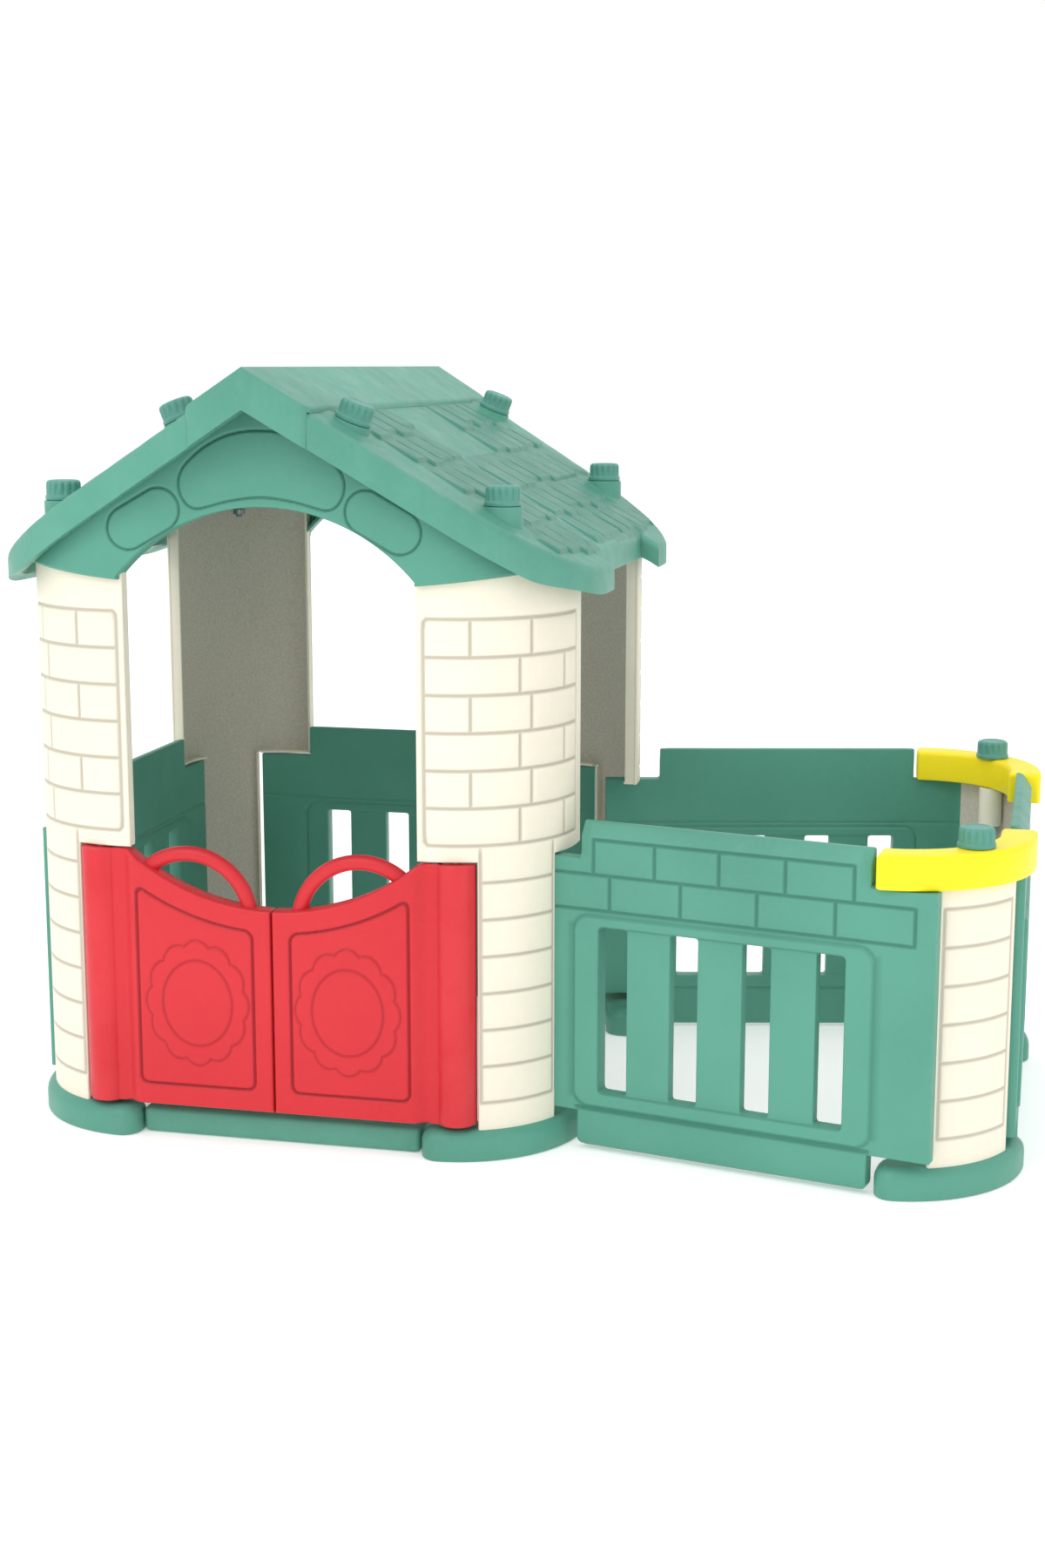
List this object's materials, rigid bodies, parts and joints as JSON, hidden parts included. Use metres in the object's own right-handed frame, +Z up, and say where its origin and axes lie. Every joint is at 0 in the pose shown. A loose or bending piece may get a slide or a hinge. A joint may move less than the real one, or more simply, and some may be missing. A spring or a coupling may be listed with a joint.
{
  "type": "toy playhouse with fenced yard",
  "caption": "Plastic playhouse with a shingled gable roof, brick-pattern corner pillars, swinging saloon doors with arched handles, and a fenced side yard.",
  "frame": {"origin": "on the ground, at the middle of the whole outline", "axes": "X to the right along the front, from the house to the yard; Y to the back; Z up. The doors face -Y."},
  "size_m": [1.624, 1.078, 1.2],
  "materials": {
    "green_plastic": "satin",
    "cream_plastic": "satin",
    "red_plastic": "satin",
    "yellow_plastic": "satin",
    "knob_plastic": "satin",
    "steel": "zinc plated"
  },
  "bodies": {
    "house": {"pillar_front_left": "cream_plastic", "pillar_front_right": "cream_plastic", "pillar_rear_left": "cream_plastic", "pillar_rear_right": "cream_plastic", "gable_front": "green_plastic", "gable_rear": "green_plastic", "roof_left": "green_plastic", "roof_right": "green_plastic", "ridge_cap": "green_plastic", "door_hinge_pins": "steel", "threshold": "green_plastic", "foot_front_left": "green_plastic", "foot_front_right": "green_plastic", "foot_rear_left": "green_plastic", "foot_rear_right": "green_plastic", "wall_panel_left": "green_plastic", "wall_panel_rear": "green_plastic", "fence_front": "green_plastic", "fence_rear": "green_plastic", "fence_side": "green_plastic", "yard_post_front": "cream_plastic", "yard_post_rear": "cream_plastic", "yard_cap_front": "yellow_plastic", "yard_cap_rear": "yellow_plastic", "yard_foot_front": "green_plastic", "yard_foot_rear": "green_plastic", "roof_knob_nuts": "steel", "cap_knob_nuts": "steel"},
    "door_left": {"door_left": "red_plastic"},
    "door_right": {"door_right": "red_plastic"},
    "roof_knob_fl_low": {"roof_knob_fl_low": "knob_plastic"},
    "roof_knob_fl_high": {"roof_knob_fl_high": "knob_plastic"},
    "roof_knob_fr_low": {"roof_knob_fr_low": "knob_plastic"},
    "roof_knob_fr_high": {"roof_knob_fr_high": "knob_plastic"},
    "roof_knob_rl_low": {"roof_knob_rl_low": "knob_plastic"},
    "roof_knob_rl_high": {"roof_knob_rl_high": "knob_plastic"},
    "roof_knob_rr_low": {"roof_knob_rr_low": "knob_plastic"},
    "roof_knob_rr_high": {"roof_knob_rr_high": "knob_plastic"},
    "cap_knob_front": {"cap_knob_front": "knob_plastic"},
    "cap_knob_rear": {"cap_knob_rear": "knob_plastic"}
  },
  "joints": [
    {"name": "door_left_hinge", "type": "hinge", "parent": "house", "child": "door_left", "pos_m": [-0.616, -0.43, 0.26], "axis": [0, 0, 1], "range_deg": [-90, 90]},
    {"name": "door_right_hinge", "type": "hinge", "parent": "house", "child": "door_right", "pos_m": [-0.042, -0.43, 0.26], "axis": [0, 0, 1], "range_deg": [-90, 90]},
    {"name": "roof_knob_fl_low_turn", "type": "hinge", "parent": "house", "child": "roof_knob_fl_low", "pos_m": [-0.679, -0.385, 0.99], "axis": [0, 0, 1], "continuous": true},
    {"name": "roof_knob_fl_high_turn", "type": "hinge", "parent": "house", "child": "roof_knob_fl_high", "pos_m": [-0.459, -0.431, 1.1127], "axis": [-0.3746, 0, 0.9272], "continuous": true},
    {"name": "roof_knob_fr_low_turn", "type": "hinge", "parent": "house", "child": "roof_knob_fr_low", "pos_m": [0.021, -0.385, 0.99], "axis": [0, 0, 1], "continuous": true},
    {"name": "roof_knob_fr_high_turn", "type": "hinge", "parent": "house", "child": "roof_knob_fr_high", "pos_m": [-0.199, -0.431, 1.1127], "axis": [0.3746, 0, 0.9272], "continuous": true},
    {"name": "roof_knob_rl_low_turn", "type": "hinge", "parent": "house", "child": "roof_knob_rl_low", "pos_m": [-0.679, 0.385, 0.99], "axis": [0, 0, 1], "continuous": true},
    {"name": "roof_knob_rl_high_turn", "type": "hinge", "parent": "house", "child": "roof_knob_rl_high", "pos_m": [-0.459, 0.431, 1.1127], "axis": [-0.3746, 0, 0.9272], "continuous": true},
    {"name": "roof_knob_rr_low_turn", "type": "hinge", "parent": "house", "child": "roof_knob_rr_low", "pos_m": [0.021, 0.385, 0.99], "axis": [0, 0, 1], "continuous": true},
    {"name": "roof_knob_rr_high_turn", "type": "hinge", "parent": "house", "child": "roof_knob_rr_high", "pos_m": [-0.199, 0.431, 1.1127], "axis": [0.3746, 0, 0.9272], "continuous": true},
    {"name": "cap_knob_front_turn", "type": "hinge", "parent": "house", "child": "cap_knob_front", "pos_m": [0.72567, -0.38667, 0.52], "axis": [0, 0, 1], "continuous": true},
    {"name": "cap_knob_rear_turn", "type": "hinge", "parent": "house", "child": "cap_knob_rear", "pos_m": [0.72567, 0.38667, 0.52], "axis": [0, 0, 1], "continuous": true}
  ]
}
